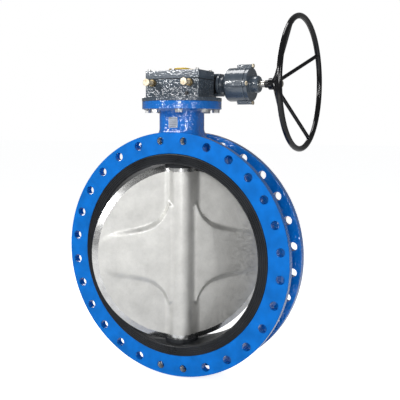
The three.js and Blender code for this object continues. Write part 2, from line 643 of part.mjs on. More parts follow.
// ---------------------------------------------------------------- planetary reducer
function reducerHousing() {
  const casing = revolve([
    [0, 140], [50, 140], [50, 152], [37, 154], [37, 168], [REDUCER_R - 3, 190], [REDUCER_R, 195],
    [REDUCER_R, 285], [0, 285],
  ], 28);
  const arm = (side) => {
    const [low, high] = side > 0 ? [40.5, 51] : [-51, -40.5];
    return box(low, high, -30, 30, ADAPTOR_LEFT_X, 152);
  };
  const lugs = LUG_ANGLES.map((angle) =>
    box(REDUCER_R - 6, LUG_R, -13, 13, 232, 285).rotateZ(degrees(angle)));
  const inside = revolve([
    [0, 178], [30, 178], [58, 192], [60, 196], [60, 215], [RING_OUTER_R + GAP, 215],
    [RING_OUTER_R + GAP, 286], [0, 286],
  ], 28);
  const shaftBore = rod(WORM_JOURNAL_R + 4, 139, 180, 24);
  const boltHoles = LUG_ANGLES.map((angle) => {
    const [x, y] = turned(LUG_BOLT_R, angle);
    return rod(5.6, 262, 286, 8).translate(x, y, 0);
  });
  return onWormAxis(cut(join(casing, arm(1), arm(-1), ...lugs), inside, shaftBore, ...boltHoles));
}

function ringGear() {
  const blank = rod(RING_OUTER_R, 217, 252, 28);
  const spaces = extrude(ringSpaceShape(REDUCER_MODULE, RING_TEETH), 216, 253);
  return onWormAxis(cut(blank, spaces));
}

const planetAngles = () => count(PLANET_COUNT).map((i) => (360 / PLANET_COUNT) * i);

function planetCarrier() {
  const plate = rod(52, CARRIER_LEFT_X, CARRIER_LEFT_X + CARRIER_PLATE);
  const pins = planetAngles().map((angle) => {
    const [x, y] = turned(CARRIER_R, angle);
    return rod(PLANET_PIN_R, CARRIER_LEFT_X + 4, GEAR_LEFT_X + GEAR_WIDTH + 2, 12).translate(x, y, 0);
  });
  return onWormAxis(join(plate, ...pins));
}

// Each planet turns about its own pin. It points one tooth at the ring and the opposite one at the sun.
function planetGear(angle) {
  const outline = extrude(gearShape(REDUCER_MODULE, PLANET_TEETH), GEAR_LEFT_X, GEAR_LEFT_X + GEAR_WIDTH);
  const gear = cut(outline, rod(PLANET_PIN_R + GAP, GEAR_LEFT_X - 1, GEAR_LEFT_X + GEAR_WIDTH + 1, 12));
  const [x, y] = turned(CARRIER_R, angle);
  return onWormAxis(gear.rotateZ(degrees(angle)).translate(x, y, 0));
}

// The room of the handwheel's key, from depth under the shaft's surface out to top, made larger by margin.
function handwheelKeySpace(depth, top, margin) {
  const half = HANDWHEEL_KEY_HALF + (margin > 0 ? GAP : 0);
  const below = HANDWHEEL_SEAT_R - depth - Math.min(margin, GAP);
  return box(below, top, -half, half, HANDWHEEL_LEFT_X + 4 - margin, HANDWHEEL_RIGHT_X - 4 + margin);
}

// The sun turns a tooth space towards each planet.
function sunShaft() {
  const sun = extrude(gearShape(REDUCER_MODULE, SUN_TEETH), GEAR_LEFT_X - 2, GEAR_LEFT_X + GEAR_WIDTH + 2)
    .rotateZ(Math.PI / SUN_TEETH);
  const shaft = revolve([
    [0, GEAR_LEFT_X - 4], [12, GEAR_LEFT_X - 4], [12, 260],
    [INPUT_SHAFT_R + 3, 260], [INPUT_SHAFT_R + 3, 268],
    [INPUT_SHAFT_R, 268], [INPUT_SHAFT_R, 358], [HANDWHEEL_SEAT_R, 360], [HANDWHEEL_SEAT_R, 430],
    [9.5, 431], [9.5, 448], [0, 448],
  ], 20);
  return onWormAxis(cut(join(sun, shaft), handwheelKeySpace(4, HANDWHEEL_SEAT_R + 5, GAP)));
}

function reducerEndCover() {
  const plate = revolve([
    [INPUT_SHAFT_R + 9 + GAP, COVER_LEFT_X], [RING_OUTER_R - 4, COVER_LEFT_X], [REDUCER_R, COVER_LEFT_X],
    [REDUCER_R, COVER_RIGHT_X - 3], [REDUCER_R - 3, COVER_RIGHT_X], [39, COVER_RIGHT_X], [39, 332],
    [35, 340], [INPUT_SHAFT_R + 9 + GAP, 340],
  ], 28);
  const ears = LUG_ANGLES.map((angle) =>
    box(REDUCER_R - 6, LUG_R, -13, 13, COVER_LEFT_X, COVER_RIGHT_X).rotateZ(degrees(angle)));
  const boltHoles = LUG_ANGLES.map((angle) => {
    const [x, y] = turned(LUG_BOLT_R, angle);
    return rod(5.6, COVER_LEFT_X - 1, COVER_RIGHT_X + 1, 8).translate(x, y, 0);
  });
  return onWormAxis(cut(join(plate, ...ears), ...boltHoles));
}

const ringOnInputShaft = (left, right) =>
  onWormAxis(tube(INPUT_SHAFT_R + 9, INPUT_SHAFT_R + GAP, left, right));

function coverBolt(angle) {
  const [x, y] = turned(LUG_BOLT_R, angle);
  const bolt = join(rod(5, 266, COVER_RIGHT_X + 1, 8), hexPrism(17, COVER_RIGHT_X + GAP, COVER_RIGHT_X + 7));
  return onWormAxis(bolt.translate(x, y, 0));
}

// ---------------------------------------------------------------- handwheel
function handwheel() {
  const rim = new THREE.TorusGeometry(RIM_R, RIM_TUBE_R, 8, 40).translate(0, 0, RIM_X);
  const hub = revolve([
    [0, HANDWHEEL_LEFT_X], [HANDWHEEL_HUB_R - 3, HANDWHEEL_LEFT_X], [HANDWHEEL_HUB_R, HANDWHEEL_LEFT_X + 3],
    [HANDWHEEL_HUB_R, HANDWHEEL_RIGHT_X - 3], [HANDWHEEL_HUB_R - 3, HANDWHEEL_RIGHT_X],
    [0, HANDWHEEL_RIGHT_X],
  ]);
  const inner = HANDWHEEL_HUB_R - 6;
  const hubX = 414;
  const spokes = count(SPOKE_COUNT).map((i) => {
    const [x1, y1] = turned(inner, SPOKE_START_ANGLE + (360 / SPOKE_COUNT) * i);
    const [x2, y2] = turned(RIM_R, SPOKE_START_ANGLE + (360 / SPOKE_COUNT) * i);
    const start = new THREE.Vector3(x1, y1, hubX);
    const end = new THREE.Vector3(x2, y2, RIM_X);
    const spoke = new THREE.CylinderGeometry(SPOKE_R, SPOKE_R, start.distanceTo(end), 8);
    const up = new THREE.Vector3(0, 1, 0);
    spoke.applyQuaternion(new THREE.Quaternion().setFromUnitVectors(up, end.clone().sub(start).normalize()));
    return spoke.translate(...start.lerp(end, 0.5).toArray());
  });
  const bore = rod(HANDWHEEL_SEAT_R + GAP, HANDWHEEL_LEFT_X - 1, HANDWHEEL_RIGHT_X + 1, 20);
  return onWormAxis(cut(join(hub, rim, ...spokes), bore, handwheelKeySpace(1, HANDWHEEL_SEAT_R + 3.8, 5)));
}

const handwheelKey = () => onWormAxis(handwheelKeySpace(4, HANDWHEEL_SEAT_R + 3.5, 0));
const handwheelWasher = () =>
  onWormAxis(tube(20, 9.5 + GAP, HANDWHEEL_RIGHT_X + 3, HANDWHEEL_RIGHT_X + 6, 16));
const handwheelNut = () => {
  const left = HANDWHEEL_RIGHT_X + 6 + GAP;
  return onWormAxis(cut(hexPrism(28, left, left + 12), rod(10.2, left - 1, left + 13, 12)));
};

// ---------------------------------------------------------------- assembly
place("valve_body", bodyCasting(), bluePaint());
place("rubber_seat", rubberSeat(), rubber());
place("nameplate", nameplate(), stainless());

place("valve_disc", discCasting(), stainless(), turningGroup);
place("upper_stem", upperStem(), steel(), turningGroup);
place("lower_stem", lowerStem(), steel(), turningGroup);
place("upper_disc_key", parallelKey(...DISC_KEY_Z), steel(), turningGroup);
place("lower_disc_key", parallelKey(-DISC_KEY_Z[1], -DISC_KEY_Z[0]), steel(), turningGroup);
place("gear_key", parallelKey(...GEAR_KEY_Z), steel(), turningGroup);

place("neck_lower_bush", tube(BUSH_R, STEM_BORE_R, 455, 535), bronze());
place("neck_upper_bush", tube(BUSH_R, STEM_BORE_R, 600, 680), bronze());
place("lower_bush", tube(BUSH_R, STEM_BORE_R, LOWER_STEM_END_Z + 4, -455), bronze());
place("neck_o_ring", oRing(548), rubber());
place("lower_o_ring", oRing(-448), rubber());
place("stem_packing", tube(BUSH_R, STEM_BORE_R, 683, 697), rubber());
place("thrust_washer", tube(38, 12, LOWER_STEM_END_Z - 8, LOWER_STEM_END_Z - 1), bronze());
place("bottom_gasket", bottomGasket(), rubber());
place("bottom_cover", bottomCover(), bluePaint());

place("gearbox_housing", gearboxHousing(), slatePaint());
place("gearbox_cover", gearboxCover(), slatePaint());
place("cover_gasket", coverGasket(), rubber());
place("worm_wheel", wormWheel(), bronze(), turningGroup);
place("worm_wheel_bush",
  tube(WHEEL_BUSH_R - GAP, WHEEL_HUB_R + 0.8, WHEEL_HUB_BOTTOM_Z, CHAMBER_FLOOR_Z, 24), bronze());
place("worm_shaft", wormShaft(), steel());
place("worm_bearing_left", ballBearing(-WORM_HOUSING_END_X + 28), steel());
place("worm_bearing_right", ballBearing(WORM_HOUSING_END_X - 46), steel());
place("worm_end_cap", wormEndCap(), slatePaint());
place("worm_bearing_cap", wormBearingCap(), blackPaint());
place("stop_bolt_closed", stopBolt().translate(STOP_X, 0, STOP_Z), zincSteel());
place("stop_bolt_open", stopBolt().translate(-STOP_X, 0, STOP_Z), zincSteel());
place("stop_locknut_closed", stopLocknut().translate(STOP_X, 0, STOP_Z), zincSteel());
place("stop_locknut_open", stopLocknut().translate(-STOP_X, 0, STOP_Z), zincSteel());
place("indicator_base", indicatorBase(), yellowPaint());
place("indicator_pointer", indicatorPointer(), yellowPaint(), turningGroup);
mountingBoltPlaces().forEach((spot, i) => place("mounting_bolt_" + (i + 1), mountingBolt(spot), zincSteel()));

place("reducer_housing", reducerHousing(), slatePaint());
place("ring_gear", ringGear(), steel());
place("planet_carrier", planetCarrier(), steel());
planetAngles().forEach((angle, i) => place("planet_gear_" + (i + 1), planetGear(angle), steel()));
place("input_shaft", sunShaft(), steel());
place("reducer_end_cover", reducerEndCover(), slatePaint());
place("input_bearing", ringOnInputShaft(296, 318), steel());
place("input_seal", ringOnInputShaft(328, 338), rubber());
LUG_ANGLES.forEach((angle, i) => place("reducer_bolt_" + (i + 1), coverBolt(angle), zincSteel()));

place("handwheel", handwheel(), blackPaint());
place("handwheel_key", handwheelKey(), steel());
place("handwheel_washer", handwheelWasher(), steel());
place("handwheel_nut", handwheelNut(), zincSteel());

export default valve;
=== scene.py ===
"""A DN 900 double-flanged butterfly valve with its worm gearbox, planetary reducer and handwheel.

Lengths are written in millimetres and become metres where a mesh is made. The frame is the CAD model's:
the origin is the valve centre, +X runs along the worm to the handwheel, +Y along the pipe, +Z up the stem.
"""

import json
import math

import bmesh
import bpy
from mathutils import Euler, Matrix, Vector

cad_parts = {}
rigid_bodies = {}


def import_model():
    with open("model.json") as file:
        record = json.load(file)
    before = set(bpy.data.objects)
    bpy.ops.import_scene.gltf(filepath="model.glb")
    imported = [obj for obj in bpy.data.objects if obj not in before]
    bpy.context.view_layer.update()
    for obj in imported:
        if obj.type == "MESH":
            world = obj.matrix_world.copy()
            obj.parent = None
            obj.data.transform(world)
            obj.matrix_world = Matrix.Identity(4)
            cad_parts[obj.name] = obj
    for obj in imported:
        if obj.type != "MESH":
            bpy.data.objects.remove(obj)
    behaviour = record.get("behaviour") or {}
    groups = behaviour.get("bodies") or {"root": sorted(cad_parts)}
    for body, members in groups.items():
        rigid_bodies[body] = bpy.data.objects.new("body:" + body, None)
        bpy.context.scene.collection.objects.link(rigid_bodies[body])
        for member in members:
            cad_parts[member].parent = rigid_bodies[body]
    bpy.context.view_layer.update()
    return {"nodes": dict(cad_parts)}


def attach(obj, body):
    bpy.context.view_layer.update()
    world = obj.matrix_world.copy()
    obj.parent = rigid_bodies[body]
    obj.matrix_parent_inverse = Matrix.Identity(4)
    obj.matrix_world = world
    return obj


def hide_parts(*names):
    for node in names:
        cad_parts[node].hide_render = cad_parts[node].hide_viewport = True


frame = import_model()

# ------------------------------------------------------------ dimensions, in millimetres
# Body: FACE is half the face-to-face length, and a name with _R is a radius.
FACE = 101.5
FLANGE_R = 562.5
FLANGE_THICK = 38
BARREL_R = 478
BORE_R = 440
LIP_R = 465.5
BOLT_CIRCLE_R = 525
BOLT_COUNT = 28
BOLT_HOLE_R = 19.5
TAP_R = 16.5
TAP_DEPTH = 50
NECK_HALF_X = 97.5
NECK_HALF_Y = 82.5
NECK_CORNER_R = 62
PAD_FRONT_Y = -85.5
PLATE_Z = 605.5
TOP_FLANGE_R = 182
TOP_FLANGE_Z = 700
TOP_FLANGE_THICK = 35
TOP_FLANGE_UNDER_Z = TOP_FLANGE_Z - TOP_FLANGE_THICK
TOP_BOLT_CIRCLE_R = 156
TOP_BOLT_COUNT = 8
TOP_BOLT_HOLE_R = 11
M20_ACROSS = 30
BOSS_HALF_X = 84
BOSS_CORNER_R = 26
BOSS_END_Z = -535
LOWER_COVER_TOP_Z = -537.6
LOWER_COVER_THICK = 18

# Rubber seat and disc
SEAT_R = 418
SEAT_FLAT_Z = 398.5
DISC_R = 416.5
BEVEL_R = 389
BEVEL_SLOPE = 0.56
PLATE_HALF_THICK = 19
HUB_R = 65
HUB_FILLET_R = 38
HUB_END_Z = 397.5
HUB_POCKET_R = 80
MACHINED_HUB_Z = 382
WEB_HALF_HEIGHT = 86
WEB_FLARE = 75
WEB_LONG_FADE = 130
WEB_SHORT_FADE = 28
WEB_NOSE_X = 285
WEB_CREST = 44
WEB_FALL = 25
WEB_LENGTH = 320
OPEN_ANGLE = 35

# Gearbox
BASE_FLANGE_R = 183
BOX_HALF_X = 135
BOX_FRONT_Y = -101
BOX_BACK_Y = 62
BOX_HALF_Y = (BOX_BACK_Y - BOX_FRONT_Y) / 2
BOX_MIDDLE = (0, (BOX_FRONT_Y + BOX_BACK_Y) / 2)
BOX_CORNER_R = 6
BOX_BOTTOM_Z = 714
BOX_TOP_Z = 797.5
LID_BOTTOM_Z = 799.4
LID_TOP_Z = 837
LID_SCREW_INSET = 14
STOP_X = 93

# Worm, reducer and handwheel: RIM_X, a START or an END is counted along the worm from the stem axis.
WORM_Y = 110
WORM_Z = 778
TUNNEL_R = 42
TUNNEL_END = 115
CAP_START = 115.3
LEFT_CAP_END = 125.3
REDUCER_R = 76
REDUCER_START = 140
REDUCER_END = 284.5
LUG_R = 80
COVER_START = 285.4
COVER_END = 303
SLEEVE_START = 366.5
WHEEL_HUB_START = 384
WHEEL_HUB_END = 428
RIM_R = 287.5
RIM_TUBE_R = 12.5
RIM_X = 531

FLOOR_Z = -572
ROUND = 256

# Bodies of the CAD model that the pieces ride on
CASING = "casing"
DISC = "disc_and_stems"
WHEEL = "handwheel_and_sun"

# ------------------------------------------------------------ placing
def at(x, y, z):
    return Matrix.Translation((x, y, z))


def about_z(angle):
    """A turn about Z by this angle in degrees."""
    return Matrix.Rotation(math.radians(angle), 4, "Z")


def turned(radius, angle):
    """The point at this radius and angle in degrees."""
    return radius * math.cos(math.radians(angle)), radius * math.sin(math.radians(angle))


def spots_on_circle(radius, count, first):
    """Evenly spaced points on a circle, from the one at the first angle in degrees."""
    return [turned(radius, first + 360 / count * i) for i in range(count)]


# A shape is built along +Z, then laid on the worm towards +X, along the pipe to +Y, or towards the front.
ON_WORM = at(0, WORM_Y, WORM_Z) @ Euler((0, math.pi / 2, 0)).to_matrix().to_4x4()
ALONG_Y = Euler((-math.pi / 2, 0, 0)).to_matrix().to_4x4()
FACING = Euler((math.pi / 2, 0, 0)).to_matrix().to_4x4()
UPSIDE_DOWN = Matrix.Rotation(math.pi, 4, "X")
DISC_TURN = about_z(OPEN_ANGLE)


# ------------------------------------------------------------ meshes as (points, faces)
ON_AXIS = 1e-6


def softened(profile, radius):
    """The outline with each corner off the axis rounded to about this radius."""
    steps = 3
    points = [Vector(p) for p in profile]
    result = []
    for i, point in enumerate(points):
        before = points[i - 1]
        after = points[(i + 1) % len(points)]
        if point.x < ON_AXIS:
            result.append(point)
            continue
        reach = min(radius, (before - point).length * 0.45, (after - point).length * 0.45)
        start = point + (before - point).normalized() * reach
        end = point + (after - point).normalized() * reach
        for step in range(steps + 1):
            t = step / steps
            result.append(start * (1 - t) ** 2 + point * 2 * t * (1 - t) + end * t * t)
    return [tuple(p) for p in result]


def flipped(profile, side):
    """The outline as it is, or turned upside down where side is -1."""
    return [(radius, side * height) for radius, height in profile]


def lathe(profile, segments=96):
    """A closed (radius, height) outline turned about Z. Points on the axis are shared."""
    points = []
    rings = []
    for radius, height in profile:
        if radius < ON_AXIS:
            rings.append([len(points)] * segments)
            points.append((0, 0, height))
            continue
        rings.append(list(range(len(points), len(points) + segments)))
        for i in range(segments):
            x, y = turned(radius, 360 * i / segments)
            points.append((x, y, height))
    faces = []
    bands = len(rings) - 1 if profile[0][0] < ON_AXIS else len(rings)
    for k in range(bands):
        low = rings[k]
        high = rings[(k + 1) % len(rings)]
        for i in range(segments):
            j = (i + 1) % segments
            corners = list(dict.fromkeys((low[i], low[j], high[j], high[i])))
            if len(corners) > 2:
                faces.append(tuple(corners))
    return points, faces


def bar(radius, low, high, segments, edge=0, bore=0):
    """A round bar from z low to high, with softened edges or a bore where these are given."""
    profile = [(bore, low), (radius, low), (radius, high), (bore, high)]
    if edge:
        profile = softened(profile, edge)
    return lathe(profile, segments)


def loft(sections):
    """Rings of equal length joined in order, with both ends closed."""
    size = len(sections[0])
    points = [p for section in sections for p in section]
    faces = [tuple(reversed(range(size)))]
    for k in range(len(sections) - 1):
        for i in range(size):
            j = (i + 1) % size
            faces.append((k * size + i, k * size + j, (k + 1) * size + j, (k + 1) * size + i))
    faces.append(tuple(range((len(sections) - 1) * size, len(sections) * size)))
    return points, faces


def rounded_ring(half_x, half_y, corner, height, steps=8, centre=(0, 0)):
    """A rounded rectangle as one ring of a loft."""
    ring = []
    for turn, sx, sy in ((0, 1, 1), (90, -1, 1), (180, -1, -1), (270, 1, -1)):
        for step in range(steps + 1):
            dx, dy = turned(corner, turn + 90 * step / steps)
            x = centre[0] + sx * (half_x - corner) + dx
            y = centre[1] + sy * (half_y - corner) + dy
            ring.append((x, y, height))
    return ring


def rounded_block(half_x, half_y, corner, low, high, edge=2, centre=(0, 0)):
    """An upright block with rounded corners and softened top and bottom edges."""
    levels = [(low, edge), (low + edge * 0.3, edge * 0.3), (low + edge, 0)]
    levels += [(high - edge, 0), (high - edge * 0.3, edge * 0.3), (high, edge)]
    return loft([
        rounded_ring(half_x - inset, half_y - inset, max(corner - inset, 0.5), z, centre=centre)
        for z, inset in levels
    ])


def hex_head(across, height):
    """A hexagon head from z 0 up, its top corners cut by a cone."""
    around = 48
    flat = across / 2
    cap = flat * 0.93
    base = []
    shoulder = []
    crown = []
    for i in range(around):
        angle = 360 * i / around
        reach = flat / math.cos(math.radians((angle + 30) % 60 - 30))
        x, y = turned(reach, angle)
        base.append((x, y, 0))
        shoulder.append((x, y, height - (reach - cap) * 0.6))
        crown.append((*turned(cap, angle), height))
    return loft([base, shoulder, crown])


def moved(shape, matrix):
    points, faces = shape
    return [tuple(matrix @ Vector(p)) for p in points], faces


def together(*shapes):
    """The shapes as one mesh."""
    points = []
    faces = []
    for shape_points, shape_faces in shapes:
        offset = len(points)
        points += shape_points
        faces += [tuple(i + offset for i in face) for face in shape_faces]
    return points, faces


def collared_bolt(collar_r, collar_thick, across, height):
    """A hexagon head on its round collar, from z 0 up."""
    collar = bar(collar_r, 0, collar_thick, 32)
    return together(collar, moved(hex_head(across, height), at(0, 0, collar_thick)))


def tube_along(points, radii):
    """A round bar through the points, with its own radius at each."""
    segments = 24
    sections = []
    for i, point in enumerate(points):
        ahead = points[min(i + 1, len(points) - 1)]
        behind = points[max(i - 1, 0)]
        along = (ahead - behind).to_track_quat("Z", "X")
        section = []
        for x, y in spots_on_circle(radii[i], segments, 0):
            section.append(tuple(point + along @ Vector((x, y, 0))))
        sections.append(section)
    return loft(sections)


# ------------------------------------------------------------ pieces
def in_scene(name, data):
    """A new object with this data, linked to the scene."""
    thing = bpy.data.objects.new(name, data)
    bpy.context.scene.collection.objects.link(thing)
    return thing


def outward(mesh):
    """Turns every face of the mesh to face out."""
    work = bmesh.new()
    work.from_mesh(mesh)
    bmesh.ops.recalc_face_normals(work, faces=work.faces)
    work.to_mesh(mesh)
    work.free()


def piece(name, shape, material, body, stands_for=(), sharp=35):
    """A visible piece of the valve, which moves with a CAD body and can stand for some of its nodes."""
    points, faces = shape
    mesh = bpy.data.meshes.new(name)
    mesh.from_pydata([Vector(p) * 0.001 for p in points], [], faces)
    outward(mesh)
    mesh.materials.append(material)
    thing = in_scene(name, mesh)
    shade(thing, sharp)
    if body:
        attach(thing, body)
    if stands_for:
        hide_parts(*stands_for)
    return thing


def shade(thing, sharp):
    """Smooth shading, but for edges with a larger angle than sharp in degrees."""
    mesh = thing.data
    mesh.polygons.foreach_set("use_smooth", [True] * len(mesh.polygons))
    mesh.set_sharp_from_angle(angle=math.radians(sharp))


def combined(thing, operation, shape, sharp):
    """Joins the shape to the piece, or cuts it out."""
    tool = piece(thing.name + "_tool", shape, thing.data.materials[0], None)
    boolean = thing.modifiers.new("boolean", "BOOLEAN")
    boolean.operation = operation
    boolean.solver = "EXACT"
    boolean.object = tool
    bpy.context.view_layer.update()
    evaluated = thing.evaluated_get(bpy.context.evaluated_depsgraph_get())
    mesh = bpy.data.meshes.new_from_object(evaluated)
    thing.modifiers.clear()
    old = thing.data
    thing.data = mesh
    bpy.data.meshes.remove(old)
    tool_mesh = tool.data
    bpy.data.objects.remove(tool)
    bpy.data.meshes.remove(tool_mesh)
    shade(thing, sharp)


def fused(thing, *shapes, sharp=35):
    """Joins each shape to the piece, so that they are one casting."""
    for shape in shapes:
        combined(thing, "UNION", shape, sharp)


def drilled(thing, cutters, sharp=35):
    """Cuts the shapes, which don't meet each other, out of the piece."""
    combined(thing, "DIFFERENCE", together(*cutters), sharp)


# ------------------------------------------------------------ materials
class Recipe:
    """A material's node tree, built up step by step over the object's own coordinates in metres."""

    def __init__(self, name, colour, roughness, metallic=0.0, coat=0.0):
        self.material = bpy.data.materials.new(name)
        self.material.use_nodes = True
        self.tree = self.material.node_tree
        self.shader = self.tree.nodes["Principled BSDF"]
        self.shader.inputs["Base Color"].default_value = (*colour, 1)
        self.shader.inputs["Roughness"].default_value = roughness
        self.shader.inputs["Metallic"].default_value = metallic
        self.shader.inputs["Coat Weight"].default_value = coat
        self.shader.inputs["Coat Roughness"].default_value = 0.05
        self.place = self.tree.nodes.new("ShaderNodeTexCoord").outputs["Object"]
        self.bump = None

    def link(self, source, target):
        self.tree.links.new(source, target)

    def stretched(self, x, y, z):
        """The coordinates multiplied by a factor along each axis."""
        node = self.tree.nodes.new("ShaderNodeMapping")
        node.inputs["Scale"].default_value = (x, y, z)
        self.link(self.place, node.inputs["Vector"])
        return node.outputs["Vector"]

    def noise(self, scale, detail, roughness=0.5, where=None):
        node = self.tree.nodes.new("ShaderNodeTexNoise")
        node.inputs["Scale"].default_value = scale
        node.inputs["Detail"].default_value = detail
        node.inputs["Roughness"].default_value = roughness
        self.link(where or self.place, node.inputs["Vector"])
        return node.outputs["Fac"]

    def ramp(self, value, low, high, from_value, to_value):
        """value between low and high becomes from_value to to_value."""
        node = self.tree.nodes.new("ShaderNodeMapRange")
        node.inputs["From Min"].default_value = low
        node.inputs["From Max"].default_value = high
        node.inputs["To Min"].default_value = from_value
        node.inputs["To Max"].default_value = to_value
        self.link(value, node.inputs["Value"])
        return node.outputs["Result"]

    def colours(self, value, stops):
        """value picks a colour from the stops, each (position, colour)."""
        node = self.tree.nodes.new("ShaderNodeValToRGB")
        ramp = node.color_ramp
        while len(ramp.elements) < len(stops):
            ramp.elements.new(0.5)
        for element, (position, colour) in zip(ramp.elements, stops):
            element.position = position
            element.color = (*colour, 1)
        self.link(value, node.inputs["Fac"])
        return node.outputs["Color"]

    def colour_from(self, source):
        self.link(source, self.shader.inputs["Base Color"])

    def mottled(self, value, colour, dark, light, low=0.3, high=0.7):
        """The colour runs from dark to light times this one as value goes from low to high."""
        self.colour_from(self.colours(value, [(low, mixed(colour, dark)), (high, mixed(colour, light))]))

    def worn(self, value, roughness, first, last):
        """The roughness runs from first to last times this one as value grows."""
        source = self.ramp(value, 0.3, 0.7, roughness * first, roughness * last)
        self.link(source, self.shader.inputs["Roughness"])

    def bumped(self, height, strength, distance):
        """Adds a layer of bumps, distance metres high, over those already there."""
        node = self.tree.nodes.new("ShaderNodeBump")
        node.inputs["Strength"].default_value = strength
        node.inputs["Distance"].default_value = distance
        self.link(height, node.inputs["Height"])
        if self.bump:
            self.link(self.bump, node.inputs["Normal"])
        self.bump = node.outputs["Normal"]
        self.link(self.bump, self.shader.inputs["Normal"])
        self.link(self.bump, self.shader.inputs["Coat Normal"])


def mixed(colour, factor):
    """The colour made darker or lighter by the factor."""
    return tuple(min(1.0, channel * factor) for channel in colour)


def cast_paint(name, colour, roughness, lump, grain):
    """Thick gloss paint over a rough casting, with lumps lump metres high and about 1 / grain metres wide."""
    recipe = Recipe(name, colour, roughness, coat=1.0)
    recipe.mottled(recipe.noise(6, 4), colour, 0.84, 1.1, 0.35, 0.65)
    recipe.worn(recipe.noise(30, 5, 0.7), roughness, 0.7, 1.4)
    recipe.bumped(recipe.noise(grain * 0.25, 2), 0.4, lump)
    recipe.bumped(recipe.ramp(recipe.noise(grain, 1), 0.35, 0.65, 0, 1), 1.0, lump)
    return recipe.material


def smooth_paint(name, colour, roughness, gloss=0.4):
    """Sprayed gloss paint over a machined or rolled piece."""
    recipe = Recipe(name, colour, roughness, coat=gloss * 0.3)
    recipe.shader.inputs["Specular IOR Level"].default_value = gloss
    recipe.mottled(recipe.noise(18, 4), colour, 0.85, 1.15)
    recipe.worn(recipe.noise(60, 4), roughness, 0.8, 1.3)
    recipe.bumped(recipe.noise(350, 2), 0.25, 0.0003)
    return recipe.material


def moulded_rubber(name, colour, roughness):
    """Moulded rubber, dusty in streaks."""
    recipe = Recipe(name, colour, roughness)
    recipe.shader.inputs["Specular IOR Level"].default_value = 0.22
    streak = recipe.noise(9, 5, 0.65, recipe.stretched(1, 4, 1))
    recipe.mottled(streak, colour, 1, 1.9, 0.35, 0.72)
    recipe.worn(streak, roughness, 0.75, 1.25)
    recipe.bumped(recipe.noise(60, 3), 0.5, 0.0012)
    recipe.bumped(recipe.noise(260, 2), 0.3, 0.0003)
    return recipe.material


def cast_metal(name, colour, roughness):
    """Blasted cast stainless steel with a faint mottle."""
    recipe = Recipe(name, colour, roughness, metallic=0.8)
    recipe.mottled(recipe.noise(14, 6, 0.6), colour, 0.88, 1.08)
    recipe.worn(recipe.noise(70, 5), roughness, 0.8, 1.2)
    recipe.bumped(recipe.noise(150, 3, 0.6), 0.5, 0.001)
    return recipe.material


def turned_metal(name, colour, roughness, metallic=1.0):
    """Metal with fine machining marks."""
    recipe = Recipe(name, colour, roughness, metallic=metallic)
    marks = recipe.noise(240, 3, 0.6, recipe.stretched(1, 6, 1))
    recipe.mottled(recipe.noise(25, 4), colour, 0.85, 1.15)
    recipe.worn(marks, roughness, 0.75, 1.35)
    recipe.bumped(marks, 0.2, 0.0002)
    return recipe.material


def plated_bolt(name, colour, roughness, stain):
    """Zinc plate, clouded and stained."""
    recipe = Recipe(name, colour, roughness, metallic=0.6)
    cloud = recipe.noise(60, 5, 0.6)
    recipe.colour_from(recipe.colours(cloud, [(0.32, stain), (0.5, colour), (0.75, mixed(colour, 1.15))]))
    recipe.worn(cloud, roughness, 1.3, 0.7)
    recipe.bumped(recipe.noise(500, 2), 0.2, 0.0002)
    return recipe.material


BLUE = (0.001, 0.15, 0.56)
SLATE = (0.052, 0.07, 0.092)
blue_paint = cast_paint("blue_paint", BLUE, 0.13, 0.0011, 85)
blue_face = smooth_paint("blue_face", BLUE, 0.45, gloss=0.1)
slate_paint = cast_paint("slate_paint", mixed(SLATE, 1.1), 0.11, 0.0013, 105)
slate_smooth = cast_paint("slate_smooth", mixed(SLATE, 1.2), 0.32, 0.0003, 110)
black_gloss = smooth_paint("black_gloss", (0.005, 0.005, 0.006), 0.12)
# Near-black paint, which on the worm's open cap is also painted shade for the recess there.
dark_paint = smooth_paint("dark_paint", (0.012, 0.012, 0.014), 0.4)
liner_rubber = moulded_rubber("liner_rubber", (0.012, 0.013, 0.015), 0.34)
seal_rubber = moulded_rubber("seal_rubber", (0.02, 0.02, 0.02), 0.6)
disc_metal = cast_metal("disc_metal", (0.68, 0.675, 0.65), 0.52)
machined_metal = turned_metal("machined_metal", (0.72, 0.72, 0.71), 0.26)
shaft_steel = turned_metal("shaft_steel", (0.62, 0.6, 0.54), 0.28)
stem_steel = turned_metal("stem_steel", (0.6, 0.6, 0.6), 0.25)
gear_steel = turned_metal("gear_steel", (0.42, 0.42, 0.43), 0.35)
bearing_steel = turned_metal("bearing_steel", (0.64, 0.64, 0.65), 0.18)
bronze = turned_metal("bronze", (0.56, 0.36, 0.16), 0.32)
bolt_zinc = plated_bolt("bolt_zinc", (0.6, 0.53, 0.4), 0.42, (0.5, 0.4, 0.26))
bolt_silver = plated_bolt("bolt_silver", (0.62, 0.62, 0.61), 0.34, (0.3, 0.28, 0.25))
nut_brass = plated_bolt("nut_brass", (0.2, 0.15, 0.07), 0.42, (0.08, 0.055, 0.025))
indicator_yellow = smooth_paint("indicator_yellow", (0.62, 0.42, 0.03), 0.35)
indicator_brown = smooth_paint("indicator_brown", (0.16, 0.085, 0.035), 0.45)
plate_metal = turned_metal("plate_metal", (0.3, 0.33, 0.38), 0.5, metallic=0.7)


# ------------------------------------------------------------ body and its flanges
def through_hole():
    """A flange hole's outline, from inside the groove to its chamfer just past the face."""
    start = FACE - FLANGE_THICK - 8.5
    return [(0, start), (BOLT_HOLE_R, start), (BOLT_HOLE_R, FACE - 1.5), (22, FACE + 1), (0, FACE + 1)]


def tapped_hole():
    """A blind hole's outline, from its drilled end along the ribbed thread to just past the face."""
    end = FACE - TAP_DEPTH
    drill = [(0, end), (TAP_R - 1.5, end + 1.5), (TAP_R, end + 8.5)]
    ribs = [(TAP_R + 0.9 * (k % 2), end + 10.5 + 2 * k) for k in range(19)]
    return drill + ribs + [(BOLT_HOLE_R, FACE + 1), (0, FACE + 1)]


def beside_stem(spot):
    return abs(spot[0]) < NECK_HALF_X


